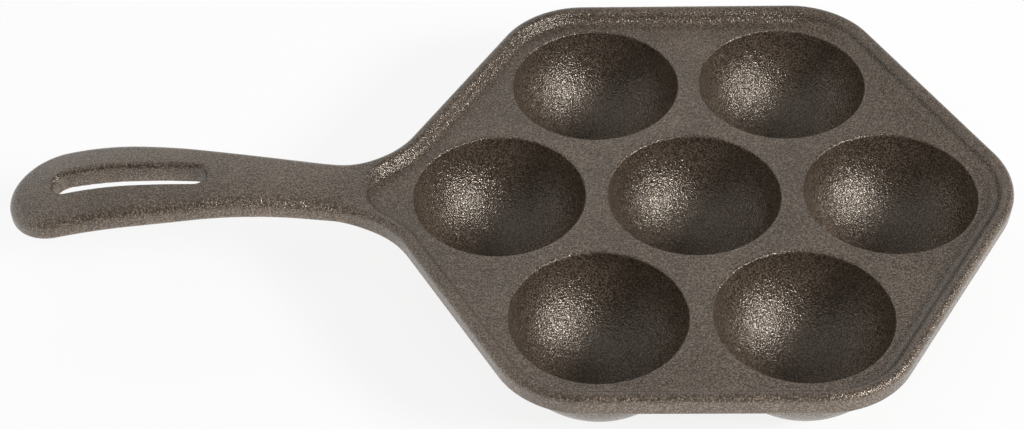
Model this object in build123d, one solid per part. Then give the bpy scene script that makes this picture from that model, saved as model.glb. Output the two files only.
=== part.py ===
from build123d import *
from math import acos, asin, atan, cos, degrees, radians, sin, sqrt, tan
import os

# Aebleskiver pan: a single iron casting, divided into the zones that a pattern maker would name.
# The frame has +X away from the handle, +Z up, and its origin on the table under the middle cup.
# Lengths are millimetres and angles are degrees. Heights above the plate are called heights, heights
# above the table are called levels, and an inset is measured inwards from the pan's edge.

# Wells with a land of plate between their mouths, and the cups that hang under the plate round them
well_radius = 30.8
well_land = 8.4
mouth_round = 0.9
cup_wall = 5.2
cup_root_round = 3.0
rest_flat_radius = 8.0
side_count = 6
side_names = ("right", "back_right", "back_left", "left", "front_left", "front_right")

# Plate, the land from the outer mouths to its straight edges, and the drafted wall round it
plate_thickness = 4.0
edge_land = 11.38
corner_radius = 34.0
parting_height = 1.9
draft_angle = 5.0
lower_edge_round = 1.0

# Rim: a rounded crest, and a slope down to the plate with a bend at its top and its foot
rim_height = 4.5
rim_outer_round = 2.3
rim_crest_round = 3.1
rim_foot_round = 3.7
slope_angle = 66.0
slope_inset = 6.4
pocket_end_land = 4.2
pocket_end_corner = 6.0

# Handle: a bar of even thickness, arched along its length, crowned across it and drooping at its end.
# Its root's two runs end at the place where the fillets leave the neck and start there, and the next
# two start where the waist does. The droop's run ends at the handle's end.
root_run = 9.85
neck_run = 0.6
shank_run = 37.55
arch_run = 59.15
droop_run = 47.0
crown_run = 15.0
neck_half_width = 12.4
grip_half_width = 19.7
root_fillet = 31.7
arch_height = 11.9
tip_droop = 5.5
handle_thickness = 8.6
root_crown = 0.3
grip_crown = 3.2
handle_top_round = 3.4
handle_lower_round = 3.2
station_count = 9

# Hanging slot through the grip, the radii of its round ends, and the lands before and behind it
slot_land = 6.8
slot_length = 55.7
slot_end_land = 16.5
slot_inner_radius = 4.4
slot_outer_radius = 5.3
slot_edge_round = 1.8

# Overrun of a cut past the faces that it opens, and the reach within which two places count as one
overrun = 20.0
touch = 0.05

# Levels of the main faces
cup_radius = well_radius + cup_wall
plate_top = sqrt(cup_radius**2 - rest_flat_radius**2)
plate_underside = plate_top - plate_thickness
parting_level = plate_top + parting_height
crest_level = plate_top + rim_height

# Plan of the hexagon: its corners' centres, and the centre of the fillet on each side of the handle
side_turn = 360 / side_count
half_turn = side_turn / 2
well_spacing = 2 * well_radius + well_land
edge_apothem = well_spacing * cos(radians(half_turn)) + well_radius + edge_land
corner_reach = (edge_apothem - corner_radius) / cos(radians(half_turn))
fillet_centre_y = neck_half_width + root_fillet
fillet_reach = edge_apothem + root_fillet
fillet_centre_x = -(fillet_reach - fillet_centre_y * sin(radians(half_turn))) / cos(radians(half_turn))

# Places along the handle, as distances from the middle of the pan
handle_start = -fillet_centre_x - root_run
pocket_end = handle_start - pocket_end_land
neck_place = neck_run - fillet_centre_x
grip_start = neck_place + shank_run
arch_place = neck_place + arch_run
slot_start = grip_start + slot_land
slot_end = slot_start + slot_length
handle_end = slot_end + slot_end_land
droop_place = handle_end - droop_run

# Length that the bend at the slope's foot takes from the plate
foot_run = rim_foot_round * tan(radians(slope_angle / 2))


def polar(reach, angle):
    """The point at a distance from the middle, in a direction given in degrees."""
    return Vector(reach * cos(radians(angle)), reach * sin(radians(angle)))


def mirrored_face(back, closing_edges):
    """A face bounded by edges on the +Y side, their mirror images, and what closes them."""
    front = [edge.mirror(Plane.XZ) for edge in back]
    return make_face([*back, *front, *closing_edges])


def pan_plan(inset, end):
    """The pan's plan, drawn in by inset and cut square across the handle's neck at end."""
    radius = corner_radius - inset
    back = [CenterArc(polar(corner_reach, 0), radius, 0, half_turn)]
    for corner in (1, 2):
        angle = corner * side_turn
        centre = polar(corner_reach, angle)
        back.append(Line(back[-1] @ 1, centre + polar(radius, angle - half_turn)))
        back.append(CenterArc(centre, radius, angle - half_turn, side_turn))
    centre = Vector(fillet_centre_x, fillet_centre_y)
    radius = root_fillet + inset
    back.append(Line(back[-1] @ 1, centre + polar(radius, -half_turn)))
    short_of_neck = -fillet_centre_x - end
    if short_of_neck > 0:
        arc_turn = 90 - half_turn - degrees(asin(short_of_neck / radius))
        back.append(CenterArc(centre, radius, -half_turn, -arc_turn))
    else:
        back.append(CenterArc(centre, radius, -half_turn, half_turn - 90))
        back.append(Line(back[-1] @ 1, Vector(-end, neck_half_width - inset)))
    closing = Line(back[-1] @ 1, Vector((back[-1] @ 1).X, -(back[-1] @ 1).Y))
    return mirrored_face(back, [closing])


def pocket_plan(inset, end):
    """The plan of the space inside the rim, with rounded corners at its end across the handle."""
    face = pan_plan(inset, end)
    corners = face.vertices().group_by(Axis.X)[0]
    return fillet(corners, pocket_end_corner + slope_inset - inset)


def beyond(place):
    """A block that holds everything on the handle's side of a place along it."""
    reach = handle_end - place + overrun
    return Pos(-place, 0, 0) * Box(
        reach, 2 * edge_apothem, 2 * (crest_level + arch_height), align=(Align.MAX, Align.CENTER, Align.CENTER)
    )


def level_edges(body, level):
    """The edges of a body that lie flat at a level."""
    found = []
    for edge in body.edges():
        box = edge.bounding_box()
        if abs(box.min.Z - level) < touch and abs(box.max.Z - level) < touch:
            found.append(edge)
    return found


def inside(edge, plan):
    """True where an edge's middle is inside a plan."""
    middle = edge @ 0.5
    return plan.is_inside(Vector(middle.X, middle.Y, 0))


def slab():
    """Plate and rim before the pocket is cut: drafted below the parting line, rounded above it."""
    plan = Pos(0, 0, parting_level) * pan_plan(0, neck_place)
    lower = extrude(plan, plate_underside - parting_level, taper=draft_angle)
    lower = fillet(level_edges(lower, plate_underside), lower_edge_round)
    upper = extrude(plan, crest_level - parting_level)
    upper = fillet(level_edges(upper, crest_level), rim_outer_round)
    return lower + upper - beyond(handle_start)


def tray():
    """The slab with the pocket in its top and the bends of the slope rounded."""
    floor = Pos(0, 0, plate_top) * pocket_plan(slope_inset, pocket_end)
    body = slab() - extrude(floor, rim_height + overrun, taper=slope_angle - 90)
    body = fillet(level_edges(body, plate_top), rim_foot_round)
    crest_plan = pan_plan(rim_outer_round + mouth_round, handle_start - touch)
    crest = [edge for edge in level_edges(body, crest_level) if inside(edge, crest_plan)]
    return fillet(crest, rim_crest_round)


def well_places():
    """Each well's name and the middle of its mouth."""
    places = {"centre": Vector(0, 0)}
    for index, name in enumerate(side_names):
        places[name] = polar(well_spacing, index * side_turn)
    return places


def plate_and_rim():
    """The tray in two zones: the plate with its seven mouths, and the rim round it."""
    body = tray()
    inset = slope_inset + foot_run + touch
    end = pocket_end - foot_run - touch
    core = extrude(pocket_plan(inset, end), crest_level)
    plate = body & core
    for middle in well_places().values():
        plate -= Pos(middle.X, middle.Y, plate_top) * Sphere(well_radius)
    mouths = [e for e in level_edges(plate, plate_top) if e.geom_type == GeomType.CIRCLE and is_mouth(e)]
    plate = fillet(mouths, mouth_round)
    return plate, body - core


def is_mouth(edge):
    """True for the edge of a well's mouth."""
    return abs(edge.radius - well_radius) < touch and edge.is_closed


def cup_blank():
    """One cup by itself: a ball's lower half, hollow, flat underneath and flared into the plate."""
    flare_reach = cup_radius + cup_root_round
    flare_drop = plate_thickness + cup_root_round
    flare_radius = sqrt(flare_reach**2 - flare_drop**2)
    flare_centre = Vector(flare_radius, plate_top - flare_drop)
    ball_centre = Vector(0, plate_top)
    joint = ball_centre + (flare_centre - ball_centre) * (cup_radius / flare_reach)
    flare_turn = degrees(atan(flare_drop / flare_radius))
    flat_turn = degrees(atan(rest_flat_radius / plate_top))
    ball_middle = ball_centre + polar(cup_radius, -(flare_turn + 90 - flat_turn) / 2)
    flare_middle = flare_centre + polar(cup_root_round, (90 + 180 - flare_turn) / 2)
    flat_end = Vector(rest_flat_radius, 0)
    plate_joint = Vector(flare_radius, plate_underside)
    outline = [
        Line(Vector(0, 0), flat_end),
        ThreePointArc(flat_end, ball_middle, joint),
        ThreePointArc(joint, flare_middle, plate_joint),
        Line(plate_joint, Vector(0, plate_underside)),
        Line(Vector(0, plate_underside), Vector(0, 0)),
    ]
    section = Plane.XZ * make_face(outline)
    return revolve(section, Axis.Z) - Pos(0, 0, plate_top) * Sphere(well_radius)


def cup_share(index):
    """The column under the plate that belongs to one cup, bounded halfway to its neighbours."""
    half = well_spacing / 2
    reach = edge_apothem + corner_radius
    spread = tan(radians(half_turn))
    wedge = Polyline(
        (half, -half * spread), (reach, -reach * spread), (reach, reach * spread), (half, half * spread), close=True
    )
    return Rot(0, 0, index * side_turn) * extrude(make_face(wedge), plate_top)


def cups():
    """The seven cups, each cut off flat where it meets the next."""
    blank = cup_blank()
    shares = [cup_share(index) for index in range(side_count)]
    zones = {}
    for index, (name, middle) in enumerate(well_places().items()):
        cup = Pos(middle.X, middle.Y) * blank
        if name == "centre":
            for share in shares:
                cup -= share
        else:
            cup &= shares[index - 1]
        zones[name] = cup
    return zones


def handle_plan():
    """The handle's plan: flared root, waist, and a grip that widens to a round end."""
    run = handle_end - grip_half_width - neck_place
    rise = grip_half_width - neck_half_width
    turn = 2 * atan(rise / run)
    radius = run / (2 * sin(turn))
    start = Vector(-neck_place, neck_half_width)
    waist = JernArc(start, Vector(-1, 0), radius, -degrees(turn))
    swell = JernArc(waist @ 1, waist % 1, radius, degrees(turn))
    tip = CenterArc(Vector(grip_half_width - handle_end, 0), grip_half_width, 90, 90)
    closing = Line(start, Vector(start.X, -start.Y))
    return pan_plan(0, neck_place) + mirrored_face([waist, swell, tip], [closing])


def slot_plan():
    """The plan of the hanging slot: two round ends, the outer one wider, and straight sides."""
    inner = Vector(-slot_start - slot_inner_radius, 0)
    outer = Vector(slot_outer_radius - slot_end, 0)
    turn = degrees(acos((slot_outer_radius - slot_inner_radius) / (inner - outer).length))
    back = [CenterArc(inner, slot_inner_radius, 0, turn)]
    back.append(Line(back[-1] @ 1, outer + polar(slot_outer_radius, turn)))
    back.append(CenterArc(outer, slot_outer_radius, turn, 180 - turn))
    return mirrored_face(back, [])


def handle_station(place):
    """The arched bar's section at a place along it, wider than the plan."""
    half_width = grip_half_width + handle_top_round
    arch_share = (place - arch_place) / (handle_start - arch_place)
    droop_share = max(0, (place - droop_place) / droop_run)
    arch = arch_share**2 * (arch_height - rim_height) + droop_share**2 * tip_droop
    top = plate_top + arch_height - arch
    root_thickness = rim_height + plate_thickness
    grip_share = min(1, (place - handle_start) / (grip_start - handle_start))
    under = top - root_thickness - grip_share * (handle_thickness - root_thickness)
    crown_share = min(1, (place - handle_start) / crown_run)
    drop = root_crown + crown_share * (grip_crown - root_crown)
    top_arc = crowned_arc(place, half_width, top, drop)
    under_arc = crowned_arc(place, -half_width, under, drop)
    sides = [Line(top_arc @ 1, under_arc @ 0), Line(under_arc @ 1, top_arc @ 0)]
    return Wire([top_arc, sides[0], under_arc, sides[1]])


def crowned_arc(place, half_width, level, drop):
    """An arc across the handle, level with its middle and lower by drop at both ends."""
    back = Vector(-place, half_width, level - drop)
    front = Vector(-place, -half_width, level - drop)
    return ThreePointArc(back, Vector(-place, 0, level), front)


def widest_face(body, direction):
    """The largest face that looks up, for direction 1, or down, for direction -1."""
    facing = [f for f in body.faces() if direction * f.normal_at(f.center()).Z > 1 / 2]
    return max(facing, key=lambda f: f.area)


def rounded(body, direction, radius):
    """A handle with the edges of its top or its underside rounded, but not at its root."""
    face = widest_face(body, direction)
    edges = [e for e in face.edges() if (e @ 0.5).X < -handle_start - touch]
    return body.fillet(radius, edges)


def handle():
    """The handle in two zones: the shank, and the grip with its hanging slot."""
    step = (handle_end + touch - handle_start) / (station_count - 1)
    stations = [handle_station(handle_start + index * step) for index in range(station_count)]
    body = Solid.make_loft(stations) & extrude(handle_plan(), plate_top + 2 * arch_height)
    body = rounded(body.solid(), 1, handle_top_round)
    body = rounded(body, -1, handle_lower_round)
    body = (body - extrude(slot_plan(), plate_top + 2 * arch_height)).solid()
    slot_edges = widest_face(body, 1).inner_wires()[0].edges()
    body = body.fillet(slot_edge_round, slot_edges)
    return body - beyond(grip_start), body & beyond(grip_start)


def build():
    """Every zone of the casting under its own name."""
    zones = {}
    zones["plate"], zones["rim"] = plate_and_rim()
    for name, cup in cups().items():
        zones["cup_" + name] = cup
    zones["handle_shank"], zones["handle_grip"] = handle()
    os.makedirs("parts", exist_ok=True)
    for name, zone in zones.items():
        export_step(zone, "parts/" + name + ".step")


build()
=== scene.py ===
# %% [markdown]
# # An aebleskiver pan in sand-cast iron
#
# The real pan is one pour of iron: a six-sided plate with a raised rim, seven round wells whose cups
# hang under the plate, and a flat, arched handle with a slot to hang it by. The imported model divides
# that pour into eleven named zones with exact sizes. A material laid straight on those solids would
# still look machined, because their edges are too clean. So each zone gets a new skin here, on which
# every form runs softly into the next, and then the grain of the sand and a studio's light.

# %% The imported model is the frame
import bpy
import math
import numpy as np
from mathutils import Matrix, Vector


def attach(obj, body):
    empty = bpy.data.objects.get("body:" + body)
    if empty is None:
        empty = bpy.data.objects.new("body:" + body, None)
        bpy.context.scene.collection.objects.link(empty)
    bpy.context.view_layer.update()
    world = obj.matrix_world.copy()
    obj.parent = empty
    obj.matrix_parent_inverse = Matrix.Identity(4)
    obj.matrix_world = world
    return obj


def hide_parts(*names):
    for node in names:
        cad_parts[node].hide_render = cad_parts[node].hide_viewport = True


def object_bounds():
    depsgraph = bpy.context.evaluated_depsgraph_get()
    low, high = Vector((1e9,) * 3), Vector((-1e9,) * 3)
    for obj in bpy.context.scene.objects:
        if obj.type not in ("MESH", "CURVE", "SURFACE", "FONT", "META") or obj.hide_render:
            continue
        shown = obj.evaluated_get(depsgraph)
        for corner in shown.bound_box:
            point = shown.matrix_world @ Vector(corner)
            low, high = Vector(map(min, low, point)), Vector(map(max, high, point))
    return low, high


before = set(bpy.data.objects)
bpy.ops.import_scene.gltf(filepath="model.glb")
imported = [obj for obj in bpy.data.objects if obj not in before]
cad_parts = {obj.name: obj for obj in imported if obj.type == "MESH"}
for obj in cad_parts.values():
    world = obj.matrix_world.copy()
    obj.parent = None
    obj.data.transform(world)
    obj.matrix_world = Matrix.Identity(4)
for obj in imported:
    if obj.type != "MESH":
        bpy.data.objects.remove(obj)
cad_low, cad_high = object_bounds()
print("zones:", ", ".join(sorted(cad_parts)))
print("box in mm:", [round(1000 * v, 1) for v in (*cad_low, *cad_high)])

# %% [markdown]
# ## Camera
#
# A camera can be moved by eye until the picture seems right, or be worked out from something whose
# real form is known. The seven mouths are circles of one size on one level, so their outlines in the
# photograph say where the camera stood: above the near side, about 44 degrees up, with a long lens.
# It comes first, because every later choice is looked at through it.

# %% Camera at the photograph's angle
MM = 0.001
SPACING = 70.0
WELL, CUP_WALL, REST_RADIUS = 30.8, 5.2, 8.0
PLATE_TOP = math.sqrt((WELL + CUP_WALL) ** 2 - REST_RADIUS ** 2)

LENS_PIXELS, IMAGE_WIDTH, SENSOR_WIDTH = 2428.63, 1024, 36.0
ELEVATION, AZIMUTH, ROLL = 0.761877, 0.03961, -0.033528
TARGET_SHARES, DISTANCE_SHARE = (-0.93267, -0.14578), 12.3579
NEAREST, FARTHEST = 0.05, 20.0

target = Vector((TARGET_SHARES[0] * SPACING, TARGET_SHARES[1] * SPACING, PLATE_TOP))
distance = DISTANCE_SHARE * SPACING
flat = math.cos(ELEVATION)
back = Vector((math.sin(AZIMUTH) * flat, -math.cos(AZIMUTH) * flat, math.sin(ELEVATION)))
level_right = Vector((math.cos(AZIMUTH), math.sin(AZIMUTH), 0.0))
level_up = back.cross(level_right)
right = level_right * math.cos(ROLL) + level_up * math.sin(ROLL)
up = level_up * math.cos(ROLL) - level_right * math.sin(ROLL)
place = (target + back * distance) * MM

camera_data = bpy.data.cameras.new("camera")
camera_data.sensor_width = SENSOR_WIDTH
camera_data.lens = LENS_PIXELS * SENSOR_WIDTH / IMAGE_WIDTH
camera_data.clip_start = NEAREST
camera_data.clip_end = FARTHEST
camera = bpy.data.objects.new("camera", camera_data)
camera.matrix_world = Matrix((
    (right.x, up.x, back.x, place.x), (right.y, up.y, back.y, place.y),
    (right.z, up.z, back.z, place.z), (0.0, 0.0, 0.0, 1.0)))
bpy.context.scene.collection.objects.link(camera)
bpy.context.scene.camera = camera
print("camera at", [round(v, 3) for v in place], "lens", round(camera_data.lens, 1), "mm")

# %% [markdown]
# ## The mould as a rule
#
# A pattern maker would turn seven balls, a slab and a paddle, and fair them together with wax fillets.
# Meshes that a Boolean modifier joins meet in sharp edges, which a bevel rarely rounds without a
# flaw. So the shape is written here as a rule instead: a function that is negative in the iron,
# positive in the air and zero on the skin. Two small helpers do the fairing. One rounds an outside
# edge, the other fills an inside corner.

# %% Helpers that join two rules
def edge_rounded(a, b, radius):
    """What is inside both rules, with the outside edge where they meet rounded."""
    corner = np.hypot(np.maximum(a + radius, 0), np.maximum(b + radius, 0))
    return np.minimum(-radius, np.maximum(a, b)) + corner


def corner_filled(a, b, radius):
    """What is inside either rule, with a fillet in the inside corner where they meet."""
    corner = np.hypot(np.maximum(radius - a, 0), np.maximum(radius - b, 0))
    return np.maximum(radius, np.minimum(a, b)) - corner


def eased(x, start, end):
    """0 before start, 1 after end, and a smooth change between."""
    t = np.clip((x - start) / (end - start), 0, 1)
    return t * t * (3 - 2 * t)


covered = -float(corner_filled(0.0, 0.0, 3.0))
print("a 3 mm fillet covers the corner of a right angle by", round(covered, 2), "mm")

# %% [markdown]
# ## Plan of the pan
#
# Seen from above the pan is a hexagon with generous corners. One corner runs out into the handle
# through a large fillet, the handle narrows to a waist, widens again and ends in half a circle. It
# could be drawn as a curve. A rule made of straight lines and arcs stays exact however fine the mesh
# is, and it gives each point's distance from the outline, which steers the rim that follows it.

# %% Distance from the outline, seen from above
APOTHEM, CORNER = 102.8, 34.0
NECK_HALF, NECK_AT, ROOT_FILLET = 12.4, 130.45, 31.7
GRIP_HALF, HANDLE_END = 19.7, 247.0
SIDE_LEAN = 30
ROOT_X = -(APOTHEM + ROOT_FILLET - (NECK_HALF + ROOT_FILLET) / 2) / math.cos(math.radians(SIDE_LEAN))
ROOT_Y = NECK_HALF + ROOT_FILLET


def hexagon(x, y):
    """Distance from a hexagon with round corners and two sides along the handle's direction."""
    half = APOTHEM - CORNER
    c, s = math.cos(math.radians(SIDE_LEAN)), 0.5
    x, y = np.abs(x), np.abs(y)
    fold = np.minimum(s * y - c * x, 0)
    x, y = x + 2 * fold * c, y - 2 * fold * s
    x, y = x - np.clip(x, -half / math.sqrt(3), half / math.sqrt(3)), y - half
    return np.hypot(x, y) * np.sign(y) - CORNER


def handle_outline(x, y):
    """Distance from the handle's sides: a waist, a swell and a round end."""
    run = HANDLE_END - GRIP_HALF - NECK_AT
    turn = 2 * math.atan((GRIP_HALF - NECK_HALF) / run)
    radius = run / (2 * math.sin(turn))
    waist = radius - np.hypot(x + NECK_AT, y - NECK_HALF - radius)
    swell = np.hypot(x + NECK_AT + run, y - GRIP_HALF + radius) - radius
    tip = np.hypot(x + NECK_AT + run, y) - GRIP_HALF
    side = np.where(x > -NECK_AT - run / 2, waist, swell)
    return np.where(x < -NECK_AT - run, tip, side)


def outline(x, y):
    """Distance from the whole pan's outline, negative inside."""
    y = np.abs(y)
    from_root = np.degrees(np.arctan2(y - ROOT_Y, x - ROOT_X))
    in_fillet = (from_root > -90) & (from_root < -SIDE_LEAN)
    fillet = ROOT_FILLET - np.hypot(x - ROOT_X, y - ROOT_Y)
    neck = np.where(x < -NECK_AT, handle_outline(x, y), y - NECK_HALF)
    straight = np.where(x < ROOT_X, neck, hexagon(x, y))
    return np.where(in_fillet, fillet, straight)


print("root fillets at", round(ROOT_X, 1), round(ROOT_Y, 1), "mm")
print("distance from the outline at the handle's end:", abs(round(float(outline(-HANDLE_END, 0.0)), 6)))

# %% [markdown]
# ## Rim
#
# The rim is one section carried round the outline: a rounded crest, a slope of 66 degrees, and a soft
# bend where it lands on the plate. Where the handle grows out, the slope runs straight across. A
# profile swept along a curve pinches in tight corners. Here the rim is a height that follows from the
# distance to the outline, so the corners take care of themselves.

# %% The rim's section
RIM_HEIGHT, SLOPE = 4.5, math.radians(66)
CREST_BEND, FOOT_BEND = 3.1, 3.7
SLOPE_INSET = 6.4
FOOT_INSET = SLOPE_INSET + FOOT_BEND * math.tan(SLOPE / 2)
CREST_INSET = SLOPE_INSET - RIM_HEIGHT / math.tan(SLOPE) - CREST_BEND * math.tan(SLOPE / 2)
POCKET_END, POCKET_CORNER = 115.8, 6.0


def pocket_inset(x, y):
    """How far a point is inside the rim's outline, with the pocket's square end at the handle."""
    corner = POCKET_CORNER
    return SLOPE_INSET - edge_rounded(outline(x, y) + SLOPE_INSET, -POCKET_END - x, corner)


def rim_section(inset):
    """Height of the rim above the plate, and the cosine of its slope, at an inset."""
    crest = np.clip(inset - CREST_INSET, 0, CREST_BEND * math.sin(SLOPE))
    foot = np.clip(FOOT_INSET - inset, 0, FOOT_BEND * math.sin(SLOPE))
    over = RIM_HEIGHT - CREST_BEND + np.sqrt(CREST_BEND ** 2 - crest ** 2)
    under = FOOT_BEND - np.sqrt(FOOT_BEND ** 2 - foot ** 2)
    slope_start = CREST_INSET + CREST_BEND * math.sin(SLOPE)
    slope_end = FOOT_INSET - FOOT_BEND * math.sin(SLOPE)
    between = np.clip((inset - slope_start) / (slope_end - slope_start), 0, 1)
    height = over * (1 - between) + under * between
    lean = np.where(between < 0.5, crest / CREST_BEND, foot / FOOT_BEND)
    return height, np.sqrt(1 - lean ** 2)


print("the rim's slope starts", round(CREST_INSET, 2), "mm in and ends", round(FOOT_INSET, 2), "mm in")

# %% [markdown]
# ## Handle
#
# The handle's back rises out of the rim's crest in a long arch, droops at its end, and is crowned
# from side to side. Its underside follows its back. A bent box under a Subdivision Surface would come
# close. Heights over the plan are as short to write, and they keep the arch, the droop and the crown
# apart, so that each can be measured and set by itself.

# %% The handle's back and underside
PLATE_THICK = 4.0
HANDLE_START, GRIP_START, ARCH_AT, ARCH_HEIGHT = 120.0, 168.0, 189.6, 11.9
ARCH_SOFTNESS, DROOP_AT, DROOP = 4.0, 200.0, 5.5
ROOT_CROWN, CROWN, HANDLE_ROUND, GRIP_THICKER = 0.3, 3.2, 3.5, 0.1
CROWN_STARTS, CROWN_FULL = HANDLE_START - 2, HANDLE_START + 17
ROUNDING_STARTS, ROUNDING_FULL = HANDLE_START - 6, HANDLE_START + 6


def handle_back(x):
    """Height of the handle's back above the plate: level over the rim, an arch, and a drooping end."""
    along = -x - HANDLE_START
    along = (along + np.sqrt(along ** 2 + ARCH_SOFTNESS ** 2)) / 2
    share = 1 - along / (ARCH_AT - HANDLE_START)
    droop = np.maximum(0, (-x - DROOP_AT) / (HANDLE_END - DROOP_AT))
    return ARCH_HEIGHT - share ** 2 * (ARCH_HEIGHT - RIM_HEIGHT) - droop ** 2 * DROOP


def top_and_bottom(x, y):
    """Heights above the plate of the top and of the underside, and the cosine of the top's slope."""
    rim, cosine = rim_section(pocket_inset(x, y))
    arch = handle_back(x)
    crown = ROOT_CROWN + (CROWN - ROOT_CROWN) * eased(-x, CROWN_STARTS, CROWN_FULL)
    reach = GRIP_HALF + HANDLE_ROUND
    round_radius = (reach ** 2 + crown ** 2) / (2 * crown)
    crowned = round_radius - np.sqrt(round_radius ** 2 - np.minimum(np.abs(y), reach) ** 2)
    crowned = crowned * eased(-x, ROUNDING_STARTS, ROUNDING_FULL)
    top = arch - crowned - (RIM_HEIGHT - rim)
    thicker = GRIP_THICKER * eased(-x, HANDLE_START, GRIP_START)
    bottom = arch - crowned - RIM_HEIGHT - PLATE_THICK - thicker
    return top, bottom, cosine


heights = [round(float(handle_back(-at)), 1) for at in (HANDLE_START, ARCH_AT, HANDLE_END)]
print("the handle's back at its start, crest and end:", heights, "mm above the plate")

# %% [markdown]
# ## Slab
#
# Plate, rim and handle are one slab. Its wall leans 5 degrees below the parting line, so that the
# pattern can leave the sand. The rule joins three things that are known by now: the outline for the
# wall, and the heights of the top and of the underside. Rounding where they meet is done here and not
# with a bevel, because the handle's edges are rounder than the rim's and one has to fade into the
# other.

# %% The slab
DRAFT, PARTING = math.radians(5), 1.9
DRAFT_FADES, DRAFT_GONE = HANDLE_START - 8, HANDLE_START + 10
RIM_ROUND, LOWER_ROUND, HANDLE_LOWER_ROUND = 2.3, 1.0, 3.2


def slab(x, y, height):
    """Plate, rim and handle, without the cups. Heights are above the plate."""
    top, bottom, cosine = top_and_bottom(x, y)
    on_handle = eased(-x, DRAFT_FADES, DRAFT_GONE)
    draft = math.tan(DRAFT) * (1 - on_handle)
    wall = outline(x, y) + draft * np.maximum(PARTING - height, 0)
    upper_round = RIM_ROUND + (HANDLE_ROUND - RIM_ROUND) * on_handle
    body = edge_rounded(wall, (height - top) * cosine, upper_round)
    lower_round = LOWER_ROUND + (HANDLE_LOWER_ROUND - LOWER_ROUND) * on_handle
    return edge_rounded(body, bottom - height, lower_round)


probes = slab(0.0, np.array([APOTHEM - 3, APOTHEM + 3]), PARTING)
print("the rule 3 mm inside the rim's wall and 3 mm outside it:", probes.round(2))

# %% [markdown]
# ## Cups
#
# Seven balls hang under the plate, with a soft valley where two of them meet, and each is flat where
# it rests on the table. Spheres could be joined by a remesh, which blurs every edge alike. As a rule,
# a ball is no more than the distance from its middle, and a blend between two balls is the valley.

# %% Seven cups under the slab
CUP_BLEND, REST_ROUND = 2.5, 0.3
well_places = [(0.0, 0.0)] + [
    (SPACING * math.cos(math.radians(60 * k)), SPACING * math.sin(math.radians(60 * k))) for k in range(6)]
WELL_NAMES = ("centre", "right", "back_right", "back_left", "left", "front_left", "front_right")


def softly_joined(a, b, reach):
    """What is inside either rule, blended over a reach, for two rules that meet at any angle."""
    near = np.maximum(reach - np.abs(a - b), 0) / reach
    return np.minimum(a, b) - near ** 2 * reach / 4


def cup_balls(x, y, height):
    """The seven balls under the plate, flat where they rest on the table."""
    radial = [np.sqrt((x - wx) ** 2 + (y - wy) ** 2 + height ** 2) for wx, wy in well_places]
    balls = radial[0]
    for ball in radial[1:]:
        balls = softly_joined(balls, ball, CUP_BLEND)
    balls = np.maximum(balls - (WELL + CUP_WALL), height + PLATE_THICK / 2)
    return -softly_joined(-balls, PLATE_TOP + height, REST_ROUND)


print("the cups' middles are", SPACING, "mm apart, and a cup is", WELL + CUP_WALL, "mm in radius")

# %% [markdown]
# ## Wells and slot
#
# Seven smaller balls are scooped out from above, each with a lightly rounded mouth, and the slot goes
# through the grip with a soft lip. Cutting comes last, as it would with a rasp, so that no fillet
# creeps into a hole. What is left is the rule for the whole pan.

# %% Wells and slot, and so the whole rule
CUP_FILLET, MOUTH_ROUND = 3.0, 0.9
SLOT_START, SLOT_END, SLOT_INNER, SLOT_OUTER = 174.8, 230.5, 4.4, 5.3
UPPER_LIP, LOWER_LIP, UPPER_LIP_DEPTH = 1.8, 0.6, 4.5


def nearest_well(x, y):
    """Squared distance, seen from above, to the nearest well's middle, and that well's number."""
    squares = np.stack([(x - wx) ** 2 + (y - wy) ** 2 for wx, wy in well_places])
    return squares.min(axis=0), squares.argmin(axis=0)


def casting(points):
    """The rule for the whole pan: millimetres outside the skin, negative in the iron."""
    x, y, height = points[0], points[1], points[2] - PLATE_TOP
    body = corner_filled(slab(x, y, height), cup_balls(x, y, height), CUP_FILLET)
    square, _ = nearest_well(x, y)
    body = edge_rounded(body, WELL - np.sqrt(square + height ** 2), MOUTH_ROUND)
    inner, outer = -SLOT_START - SLOT_INNER, SLOT_OUTER - SLOT_END
    along = np.clip(x, outer, inner)
    radius = SLOT_INNER + (SLOT_OUTER - SLOT_INNER) * (inner - along) / (inner - outer)
    slot = radius - np.hypot(x - along, y)
    lip = np.where(height > handle_back(x) - UPPER_LIP_DEPTH, UPPER_LIP, LOWER_LIP)
    return edge_rounded(body, slot, lip)


probes = np.array([(0.0, 0.0, 2.0), (35.0, 0.0, 34.0), (-200.0, 0.0, 42.0), (-200.0, 12.0, 42.0)]).T
print("iron under a cup, between two wells, in the slot, beside it:", casting(probes).round(2))

# %% [markdown]
# ## From the rule to zones
#
# A rule has no faces yet. Volume to Mesh could give it some, but only as one skin without zones. Here
# a grid of points is laid through the pan's box and each point is given a number: 0 for air, or the
# number of its zone. Wherever two neighbours differ there is a face, and each grid cell that such
# faces touch gets one vertex. This is the surface nets method. Every zone comes out as a closed shell,
# and two zones that touch share the very same vertices, so no seam can open between them. The grid
# starts at a height that puts none of its levels on a flat of the pan, where faces would fold up.

# %% Number the grid's points by zone
FINE_STEP, COARSE_STEP = 0.8, 1.4
STEP = FINE_STEP
MARGIN, CORNER_REACH = 2.2, 116.2
CUPS_BELOW = PLATE_TOP - PLATE_THICK - 0.4
ZONES = ["plate", "rim"] + ["cup_" + name for name in WELL_NAMES] + ["handle_shank", "handle_grip"]
PLATE, RIM, FIRST_CUP, SHANK, GRIP = 1, 2, 3, 10, 11

grid_low = np.array([-HANDLE_END - MARGIN, -APOTHEM - MARGIN, -MARGIN])
grid_high = np.array([CORNER_REACH, APOTHEM + MARGIN, cad_high.z / MM + MARGIN])
grid_axes = [np.arange(grid_low[k], grid_high[k], STEP) for k in range(3)]
plan_x, plan_y = np.meshgrid(grid_axes[0], grid_axes[1], indexing="ij")


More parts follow.
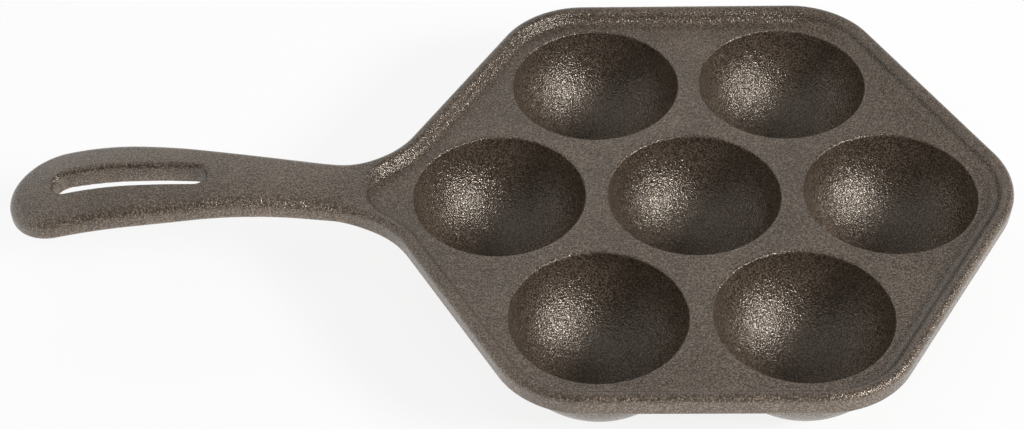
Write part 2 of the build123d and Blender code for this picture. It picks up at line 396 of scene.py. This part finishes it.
def zone_numbers(level):
    """The rule's values and the zone numbers on one level of the grid."""
    value = casting(np.stack([plan_x, plan_y, np.full_like(plan_x, level)]))
    in_plate = pocket_inset(plan_x, plan_y) > FOOT_INSET
    number = np.where(in_plate, PLATE, RIM)
    if level < CUPS_BELOW:
        _, well = nearest_well(plan_x, plan_y)
        number = FIRST_CUP + well
    number = np.where(plan_x < -HANDLE_START, SHANK, number)
    number = np.where(plan_x < -GRIP_START, GRIP, number)
    return value, np.where(value < 0, number, 0)


layers = [zone_numbers(level) for level in grid_axes[2]]
values = np.stack([layer[0] for layer in layers], axis=2).astype(np.float32)
zones = np.stack([layer[1] for layer in layers], axis=2).astype(np.int8)
del layers
print("grid", values.shape, "of which iron", round(float((zones > 0).mean()), 3))

# %% [markdown]
# ## Vertices and faces
#
# A cell's first vertex is the mean of the places where the skin crosses the cell's edges. Cells inside
# the iron, where two zones meet, take the middles of their mixed edges instead. A loop over millions
# of cells would be slow in Python, so numpy handles one corner or one axis of all cells at a time.

# %% One vertex for each mixed cell
def cells_by_corner(array, corner):
    """The array's values at one corner of every cell."""
    return array[tuple(slice(c, c + n - 1) for c, n in zip(corner, array.shape))]


corners = [(i, j, k) for i in (0, 1) for j in (0, 1) for k in (0, 1)]
cell_shape = tuple(n - 1 for n in zones.shape)
first = cells_by_corner(zones, (0, 0, 0))
mixed = np.zeros(cell_shape, bool)
airy = np.zeros(cell_shape, bool)
for corner in corners:
    mixed |= cells_by_corner(zones, corner) != first
    airy |= cells_by_corner(zones, corner) == 0
cells = np.argwhere(mixed)
on_skin = airy[mixed]
cell_number = np.full(cell_shape, -1, np.int32)
cell_number[mixed] = np.arange(len(cells))

total = np.zeros((len(cells), 3))
count = np.zeros(len(cells))
for corner in corners:
    for axis in range(3):
        if corner[axis]:
            continue
        other = tuple(c + (k == axis) for k, c in enumerate(corner))
        zone_a, zone_b = zones[tuple((cells + corner).T)], zones[tuple((cells + other).T)]
        value_a, value_b = values[tuple((cells + corner).T)], values[tuple((cells + other).T)]
        crosses = np.where(on_skin, (zone_a == 0) != (zone_b == 0), zone_a != zone_b)
        gap = np.where(value_a == value_b, 1.0, value_a - value_b)
        share = np.where(on_skin, np.clip(value_a / gap, 0, 1), 0.5)
        point = (cells + corner).astype(float)
        point[:, axis] += share
        total[crosses] += point[crosses]
        count[crosses] += 1
vertices = total / count[:, None] * STEP + grid_low
print(len(vertices), "vertices, of which on the skin", int(on_skin.sum()))

# %% Faces between neighbours that differ
def faces_across(axis):
    """Quads across the grid's edges along one axis, with the zones behind and before each."""
    b, c = (axis + 1) % 3, (axis + 2) % 3
    low = tuple(slice(1, -1) if k != axis else slice(0, -1) for k in range(3))
    high = tuple(slice(1, -1) if k != axis else slice(1, None) for k in range(3))
    edges = np.argwhere(zones[low] != zones[high]) + [k != axis for k in range(3)]
    ring = []
    for step_b, step_c in ((0, 0), (-1, 0), (-1, -1), (0, -1)):
        cell = edges.copy()
        cell[:, b] += step_b
        cell[:, c] += step_c
        ring.append(cell_number[tuple(cell.T)])
    ahead = edges.copy()
    ahead[:, axis] += 1
    return np.stack(ring, axis=1), zones[tuple(edges.T)], zones[tuple(ahead.T)]


parts = [faces_across(axis) for axis in range(3)]
quads = np.concatenate([part[0] for part in parts])
behind = np.concatenate([part[1] for part in parts])
ahead = np.concatenate([part[2] for part in parts])
outer = (behind == 0) | (ahead == 0)
print(len(quads), "quads, of which on the skin", int(outer.sum()))

# %% [markdown]
# ## Settling the vertices on the rule
#
# The first vertices are only near the skin. A Smooth modifier would even them out, but it would also
# shrink every round edge. Here each vertex is moved towards the mean of its neighbours, and then
# straight back to the skin along the rule's slope. The slope also gives the exact direction that the
# skin faces, so a highlight runs smoothly over faces of any size.

# %% Relax, then project
SLOPE_REACH, LEAST_SLOPE = 0.02, 0.25
SKIN_PASSES, INNER_PASSES, MOVE_SHARE = 3, 4, 0.5


def rule_slope(points):
    """The direction in which the rule grows fastest, which is the skin's outward direction."""
    slope = np.empty_like(points)
    for axis in range(3):
        shift = np.zeros((3, 1))
        shift[axis] = SLOPE_REACH
        slope[:, axis] = (casting(points.T + shift) - casting(points.T - shift)) / (2 * SLOPE_REACH)
    return slope


def settle(points):
    """Moves points onto the skin."""
    slope = rule_slope(points)
    length = np.maximum((slope ** 2).sum(axis=1), LEAST_SLOPE)
    return points - slope * np.clip(casting(points.T) / length, -STEP / 2, STEP / 2)[:, None]


def neighbour_means(points, faces):
    """The mean of each vertex's neighbours along the faces' edges."""
    start = np.concatenate([faces[:, k] for k in range(4)])
    end = np.concatenate([faces[:, (k + 1) % 4] for k in range(4)])
    start, end = np.concatenate([start, end]), np.concatenate([end, start])
    counts = np.bincount(start, minlength=len(points))
    sums = [np.bincount(start, weights=points[end, k], minlength=len(points)) for k in range(3)]
    return np.stack(sums, axis=1) / np.maximum(counts, 1)[:, None], counts > 0


for _ in range(SKIN_PASSES):
    means, known = neighbour_means(vertices, quads[outer])
    moved = on_skin & known
    vertices[moved] += MOVE_SHARE * (means[moved] - vertices[moved])
    vertices[moved] = settle(vertices[moved])
vertices[on_skin] = settle(vertices[on_skin])
for _ in range(INNER_PASSES):
    means, known = neighbour_means(vertices, quads[~outer])
    moved = ~on_skin & known
    vertices[moved] += MOVE_SHARE * (means[moved] - vertices[moved])

facing = np.zeros_like(vertices)
slope = rule_slope(vertices[on_skin])
facing[on_skin] = slope / np.linalg.norm(slope, axis=1, keepdims=True)
missed = np.abs(casting(vertices[on_skin].T))
print("mean distance from the rule:", round(float(missed.mean()), 4), "mm")
print("worst distance from the rule:", round(float(missed.max()), 3), "mm")

# %% [markdown]
# ## One mesh for each zone
#
# One mesh would be enough for a picture, but a model with named zones can be taken apart and reused.
# Every zone takes the faces that part it from the air or from its neighbours, turned so that they look
# out of it. Each vertex also carries the way the skin faces there, for a later step.

# %% Build the zones' meshes
def zone_mesh(number, name):
    """A closed mesh object for one zone, and the numbers of the vertices it uses."""
    from_behind = quads[behind == number]
    from_ahead = quads[ahead == number][:, ::-1]
    faces = np.concatenate([from_behind, from_ahead])
    used, local = np.unique(faces, return_inverse=True)
    local = local.reshape(faces.shape)
    mesh = bpy.data.meshes.new(name)
    mesh.vertices.add(len(used))
    mesh.vertices.foreach_set("co", (vertices[used] * MM).astype(np.float32).ravel())
    mesh.loops.add(local.size)
    mesh.loops.foreach_set("vertex_index", local.astype(np.int32).ravel())
    mesh.polygons.add(len(local))
    mesh.polygons.foreach_set("loop_start", np.arange(0, local.size, 4, dtype=np.int32))
    mesh.polygons.foreach_set("loop_total", np.full(len(local), 4, dtype=np.int32))
    mesh.update(calc_edges=True)
    mesh.validate()
    mesh.attributes.new("facing", "FLOAT_VECTOR", "POINT")
    mesh.attributes["facing"].data.foreach_set("vector", facing[used].astype(np.float32).ravel())
    piece = bpy.data.objects.new(name, mesh)
    bpy.context.scene.collection.objects.link(piece)
    return piece, used


pieces = {}
for number, zone in enumerate(ZONES, start=1):
    piece, used = zone_mesh(number, "cast_" + zone.replace("handle_", ""))
    pieces[zone] = (piece, used)
    print(piece.name, len(piece.data.polygons) * 2, "triangles")

# %% [markdown]
# ## Seasoned iron
#
# Sand leaves a grain like coarse paper, and baked oil covers it with a thin, hard, brown-black film.
# The film is what shines: it catches the light on every grain that happens to face it. Modelled grains
# would take millions of faces, and a picture of iron would stretch over the cups. So the grain is a
# pattern in the material, a crowd of small rounded bumps with a noise over them. It tilts the surface,
# and it also steers the colour, because the film is worn to a paler brown on the heaps and stays dark
# in the hollows.

# %% The material
GRAIN_SCALE, LUMP_SCALE, FILM_SCALE = 1500.0, 1750.0, 38.0
GRAIN_DEPTH, GRAIN_SOFTNESS, GRAIN_SHARE, FILM_SHARE = 0.00028, 0.35, -0.55, 0.3
HOLLOW_TINT, HOLLOW_AT = (0.034, 0.025, 0.018, 1.0), 0.30
HEAP_TINT, HEAP_AT = (0.160, 0.119, 0.088, 1.0), 0.64
FILM_IOR, FILM_TINT, FILM_ROUGHNESS = 1.75, (1.0, 0.89, 0.77, 1.0), 0.19


def seasoned_iron():
    """Brown-black oil film over sand-cast grain, on Object coordinates."""
    material = bpy.data.materials.new("seasoned_iron")
    material.use_nodes = True
    nodes, links = material.node_tree.nodes, material.node_tree.links
    nodes.clear()
    out = nodes.new("ShaderNodeOutputMaterial")
    shader = nodes.new("ShaderNodeBsdfPrincipled")
    links.new(shader.outputs["BSDF"], out.inputs["Surface"])
    where = nodes.new("ShaderNodeTexCoord")

    def noise(scale, detail, roughness):
        node = nodes.new("ShaderNodeTexNoise")
        node.inputs["Scale"].default_value = scale
        node.inputs["Detail"].default_value = detail
        node.inputs["Roughness"].default_value = roughness
        links.new(where.outputs["Object"], node.inputs["Vector"])
        return node

    def sum_of(a, factor, b):
        """A socket that gives a times a factor, plus b."""
        node = nodes.new("ShaderNodeMath")
        node.operation = "MULTIPLY_ADD"
        links.new(a, node.inputs[0])
        node.inputs[1].default_value = factor
        links.new(b, node.inputs[2])
        return node.outputs["Value"]

    grains = nodes.new("ShaderNodeTexVoronoi")
    grains.feature = "SMOOTH_F1"
    grains.inputs["Scale"].default_value = GRAIN_SCALE
    grains.inputs["Smoothness"].default_value = GRAIN_SOFTNESS
    links.new(where.outputs["Object"], grains.inputs["Vector"])
    lumps = noise(LUMP_SCALE, 1.0, 0.5)
    heaps = sum_of(grains.outputs["Distance"], GRAIN_SHARE, lumps.outputs["Fac"])

    film = noise(FILM_SCALE, 3.0, 0.55)
    wear = sum_of(film.outputs["Fac"], FILM_SHARE, heaps)
    tint = nodes.new("ShaderNodeValToRGB")
    hollow, heap = tint.color_ramp.elements
    hollow.position, hollow.color = HOLLOW_AT, HOLLOW_TINT
    heap.position, heap.color = HEAP_AT, HEAP_TINT
    links.new(wear, tint.inputs["Fac"])
    links.new(tint.outputs["Color"], shader.inputs["Base Color"])
    shader.inputs["IOR"].default_value = FILM_IOR
    shader.inputs["Specular Tint"].default_value = FILM_TINT
    shader.inputs["Roughness"].default_value = FILM_ROUGHNESS

    bump = nodes.new("ShaderNodeBump")
    bump.inputs["Distance"].default_value = GRAIN_DEPTH
    bump.inputs["Strength"].default_value = 1.0
    links.new(heaps, bump.inputs["Height"])
    links.new(bump.outputs["Normal"], shader.inputs["Normal"])
    return material


iron = seasoned_iron()
print("material", iron.name, "with", len(iron.node_tree.nodes), "nodes")

# %% [markdown]
# ## The sand's unevenness, with Geometry Nodes
#
# A sand mould is never quite true: it is rammed by hand, and the skin of the iron drifts by hundredths
# of a millimetre over the width of a finger. The drift follows the surface, so a small tree makes it:
# it sinks every vertex against the way it faces, by a noise. It only sinks, so the piece stays inside
# its size. The same tree serves every zone, and neighbours' shared vertices move together.

# %% The tree
SAND_SIZES = {"Drift": 0.00009, "Drift Size": 0.016, "Grain": 0.00005, "Grain Size": 0.0021}
SAND_SEED, SAND_DETAIL = 7.0, 1.5


def sand_skin_tree():
    """A Geometry Nodes tree that sinks the skin by a noise, and sets the material."""
    tree = bpy.data.node_groups.new("sand skin", "GeometryNodeTree")
    sockets = tree.interface
    sockets.new_socket("Geometry", in_out="INPUT", socket_type="NodeSocketGeometry")
    for name, value in SAND_SIZES.items():
        sockets.new_socket(name, in_out="INPUT", socket_type="NodeSocketFloat").default_value = value
    sockets.new_socket("Seed", in_out="INPUT", socket_type="NodeSocketFloat").default_value = SAND_SEED
    sockets.new_socket("Material", in_out="INPUT", socket_type="NodeSocketMaterial")
    sockets.new_socket("Geometry", in_out="OUTPUT", socket_type="NodeSocketGeometry")
    nodes, links = tree.nodes, tree.links
    given = nodes.new("NodeGroupInput")
    result = nodes.new("NodeGroupOutput")

    def math_node(operation, a, b):
        node = nodes.new("ShaderNodeMath")
        node.operation = operation
        for socket, value in zip(node.inputs, (a, b)):
            if isinstance(value, bpy.types.NodeSocket):
                links.new(value, socket)
            else:
                socket.default_value = value
        return node.outputs["Value"]

    def sinking(depth, size):
        """A noise of one size, from 0 to one depth."""
        noise = nodes.new("ShaderNodeTexNoise")
        noise.noise_dimensions = "4D"
        noise.inputs["Detail"].default_value = SAND_DETAIL
        links.new(given.outputs["Seed"], noise.inputs["W"])
        links.new(math_node("DIVIDE", 1.0, given.outputs[size]), noise.inputs["Scale"])
        return math_node("MULTIPLY", noise.outputs["Fac"], given.outputs[depth])

    depth = math_node("ADD", sinking("Drift", "Drift Size"), sinking("Grain", "Grain Size"))
    facing_way = nodes.new("GeometryNodeInputNamedAttribute")
    facing_way.data_type = "FLOAT_VECTOR"
    facing_way.inputs["Name"].default_value = "facing"
    offset = nodes.new("ShaderNodeVectorMath")
    offset.operation = "SCALE"
    links.new(facing_way.outputs["Attribute"], offset.inputs["Vector"])
    links.new(math_node("MULTIPLY", depth, -1.0), offset.inputs["Scale"])
    sink = nodes.new("GeometryNodeSetPosition")
    links.new(given.outputs["Geometry"], sink.inputs["Geometry"])
    links.new(offset.outputs["Vector"], sink.inputs["Offset"])
    real = nodes.new("GeometryNodeRealizeInstances")
    links.new(sink.outputs["Geometry"], real.inputs["Geometry"])
    finish = nodes.new("GeometryNodeSetMaterial")
    links.new(real.outputs["Geometry"], finish.inputs["Geometry"])
    links.new(given.outputs["Material"], finish.inputs["Material"])
    links.new(finish.outputs["Geometry"], result.inputs["Geometry"])
    return tree


sand_skin = sand_skin_tree()
print("tree with", len(sand_skin.nodes), "nodes")

# %% [markdown]
# ## A plain mesh again
#
# A modifier could stay live. Here its result is kept as a plain mesh and the modifier goes, because
# the shape is finished and nothing has to be worked out again. The tree moves the skin, but not the
# direction in which each vertex faces. Taking that from the faces alone would lose the rule's exact
# directions, so only the change from before to after is added to them.

# %% Run the tree on each zone and keep its mesh
def run_tree(piece, tree, **inputs):
    """Replaces a piece's mesh by what the tree makes of it."""
    modifier = piece.modifiers.new(tree.name, "NODES")
    modifier.node_group = tree
    for item in tree.interface.items_tree:
        if item.in_out == "INPUT" and item.name in inputs:
            modifier[item.identifier] = inputs[item.name]
    graph = bpy.context.evaluated_depsgraph_get()
    graph.update()
    made = bpy.data.meshes.new_from_object(piece.evaluated_get(graph))
    piece.modifiers.remove(modifier)
    piece.data = made
    made.name = piece.name


sunk = vertices.copy()
for piece, used in pieces.values():
    run_tree(piece, sand_skin, Seed=SAND_SEED, Material=iron)
    placed = np.empty(len(used) * 3, np.float32)
    piece.data.vertices.foreach_get("co", placed)
    sunk[used] = placed.reshape(-1, 3) / MM
depths = np.linalg.norm(sunk - vertices, axis=1)[on_skin]
print("sunk by", round(float(depths.mean()), 4), "mm on average, at most", round(float(depths.max()), 3))

# %% The way the sunk skin faces
def mesh_facing(points, faces):
    """Each vertex's direction from the faces round it, weighted by their areas."""
    diagonals = points[faces[:, 2]] - points[faces[:, 0]], points[faces[:, 3]] - points[faces[:, 1]]
    normal = np.cross(*diagonals)
    result = np.zeros_like(points)
    for axis in range(3):
        for corner in range(4):
            result[:, axis] += np.bincount(faces[:, corner], weights=normal[:, axis], minlength=len(points))
    return result / np.maximum(np.linalg.norm(result, axis=1, keepdims=True), 1e-9)


skin_quads = np.where((behind != 0)[outer, None], quads[outer], quads[outer][:, ::-1])
facing += mesh_facing(sunk, skin_quads) - mesh_facing(vertices, skin_quads)
facing /= np.maximum(np.linalg.norm(facing, axis=1, keepdims=True), 1e-9)
for piece, used in pieces.values():
    mesh = piece.data
    mesh.attributes.remove(mesh.attributes["facing"])
    mesh.polygons.foreach_set("use_smooth", np.ones(len(mesh.polygons), bool))
    mesh.normals_split_custom_set_from_vertices(facing[used])
print("smooth directions set on", len(pieces), "pieces")

# %% [markdown]
# ## Onto the frame
#
# The real pan has one rigid body, so every piece rides on that. The pieces could stand beside the
# packed zones, but two skins in one place would flicker, so each stands for its own zone instead.

# %% Ride and replace
for zone, (piece, _) in pieces.items():
    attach(piece, "root")
    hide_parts(zone)
print(len(pieces), "pieces stand for", len(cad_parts), "zones")

# %% [markdown]
# ## Table
#
# The pan lies on a table that the photograph shows as plain white. Stronger lamps would whiten the
# table and bleach the iron as well. So the table is a white sheet with a glow, which lights the pan's
# walls and undersides, and where it is seen it is mostly plain white, with a faint shadow.

# %% White table
TABLE_WHITE, TABLE_GLOW, TABLE_VEIL, HALF_TABLE = (0.9, 0.9, 0.9, 1.0), 1.7, 0.85, 4.0


def is_seen(nodes, links):
    """A socket that is 1 where the camera sees a thing, directly or in a mirror or through glass."""
    path = nodes.new("ShaderNodeLightPath")
    seen = path.outputs["Is Camera Ray"]
    for other in ("Is Glossy Ray", "Is Transmission Ray"):
        either = nodes.new("ShaderNodeMath")
        either.operation = "MAXIMUM"
        links.new(seen, either.inputs[0])
        links.new(path.outputs[other], either.inputs[1])
        seen = either.outputs["Value"]
    return seen


def white_table():
    """A glowing white table, which is mostly plain white, with its shadow, where it is seen."""
    material = bpy.data.materials.new("white_table")
    material.use_nodes = True
    nodes, links = material.node_tree.nodes, material.node_tree.links
    nodes.clear()
    matt = nodes.new("ShaderNodeBsdfDiffuse")
    matt.inputs["Color"].default_value = TABLE_WHITE
    glow = nodes.new("ShaderNodeEmission")
    glow.inputs["Strength"].default_value = TABLE_GLOW
    lit = nodes.new("ShaderNodeAddShader")
    links.new(matt.outputs["BSDF"], lit.inputs[0])
    links.new(glow.outputs["Emission"], lit.inputs[1])
    plain = nodes.new("ShaderNodeEmission")
    plain.inputs["Strength"].default_value = 1.0
    veiled = nodes.new("ShaderNodeMixShader")
    veiled.inputs["Fac"].default_value = TABLE_VEIL
    links.new(matt.outputs["BSDF"], veiled.inputs[1])
    links.new(plain.outputs["Emission"], veiled.inputs[2])
    choice = nodes.new("ShaderNodeMixShader")
    links.new(is_seen(nodes, links), choice.inputs["Fac"])
    links.new(lit.outputs["Shader"], choice.inputs[1])
    links.new(veiled.outputs["Shader"], choice.inputs[2])
    out = nodes.new("ShaderNodeOutputMaterial")
    links.new(choice.outputs["Shader"], out.inputs["Surface"])
    return material


floor_mesh = bpy.data.meshes.new("floor")
floor_corners = [(HALF_TABLE * i, HALF_TABLE * j, 0) for i, j in ((-1, -1), (1, -1), (1, 1), (-1, 1))]
floor_mesh.from_pydata(floor_corners, [], [(0, 1, 2, 3)])
floor = bpy.data.objects.new("floor", floor_mesh)
floor.data.materials.append(white_table())
bpy.context.scene.collection.objects.link(floor)
print("table", 2 * HALF_TABLE, "m wide")

# %% [markdown]
# ## Lamps
#
# The key lamp stands to the right and in front, rather low, and draws the highlight on the left of
# each well. A broad one overhead fills the wells, one behind the pan gives the plate its sheen, and
# one beyond the handle touches the right of each well. All are area lamps, because a highlight on a
# shiny film is a picture of the lamp, and a point lamp would leave only a spark.

# %% Lamps
LAMPS_AIM = Vector((-0.05, 0.0, 0.03))


def softbox(name, azimuth_degrees, elevation_degrees, reach, size, power):
    """A rectangular area lamp that looks at the pan from a direction."""
    a, e = math.radians(azimuth_degrees), math.radians(elevation_degrees)
    way = Vector((math.cos(a) * math.cos(e), math.sin(a) * math.cos(e), math.sin(e)))
    lamp = bpy.data.lights.new(name, "AREA")
    lamp.shape = "RECTANGLE"
    lamp.size, lamp.size_y = size
    lamp.energy = power
    lamp_object = bpy.data.objects.new(name, lamp)
    lamp_object.location = way * reach + LAMPS_AIM
    lamp_object.rotation_euler = way.to_track_quat("Z", "Y").to_euler()
    bpy.context.scene.collection.objects.link(lamp_object)
    print(name, "lamp at", [round(v, 2) for v in lamp_object.location], "with", power, "W")


softbox("key", -28.0, 32.0, 1.6, (0.50, 0.38), 24.0)
softbox("top", 225.0, 72.0, 1.8, (1.7, 1.3), 5.5)
softbox("back", 112.0, 38.0, 1.3, (1.4, 0.5), 2.6)
softbox("left", 180.0, 28.0, 1.8, (1.0, 0.6), 4.0)

# %% [markdown]
# ## Room
#
# Shiny iron also shows what stands round it, and one even grey would make the rim and the wells look
# flat. A photograph of a studio would do as a world. Three ramps over the direction are enough: a
# white horizon, a ceiling that is dim overhead, and dark above the camera's side.

# %% The room's brightness by direction
world = bpy.data.worlds.new("studio")
bpy.context.scene.world = world
world.use_nodes = True
nodes, links = world.node_tree.nodes, world.node_tree.links
way = nodes.new("ShaderNodeTexCoord")
split = nodes.new("ShaderNodeSeparateXYZ")
links.new(way.outputs["Generated"], split.inputs["Vector"])


def world_ramp(axis, start, end, first, last):
    """A socket that goes from one value to another as the direction's share along an axis grows."""
    ramp = nodes.new("ShaderNodeMapRange")
    links.new(split.outputs[axis], ramp.inputs["Value"])
    for socket, value in (("From Min", start), ("From Max", end), ("To Min", first), ("To Max", last)):
        ramp.inputs[socket].default_value = value
    return ramp.outputs["Result"]


def world_math(operation, a, b):
    """A socket with the result of one operation on two sockets."""
    node = nodes.new("ShaderNodeMath")
    node.operation = operation
    links.new(a, node.inputs[0])
    links.new(b, node.inputs[1])
    return node.outputs["Value"]


overhead = world_ramp("Z", 0.05, 0.65, 0.95, 0.24)
camera_side = world_ramp("Y", -0.75, 0.1, 0.12, 1.0)
horizon = world_ramp("Z", 0.14, 0.26, 0.95, 0.0)
room = world_math("MAXIMUM", world_math("MULTIPLY", overhead, camera_side), horizon)
links.new(room, nodes["Background"].inputs["Color"])
nodes["Background"].inputs["Strength"].default_value = 1.0
print("room with", len(nodes), "nodes")
bpy.context.scene.view_settings.view_transform = "Standard"
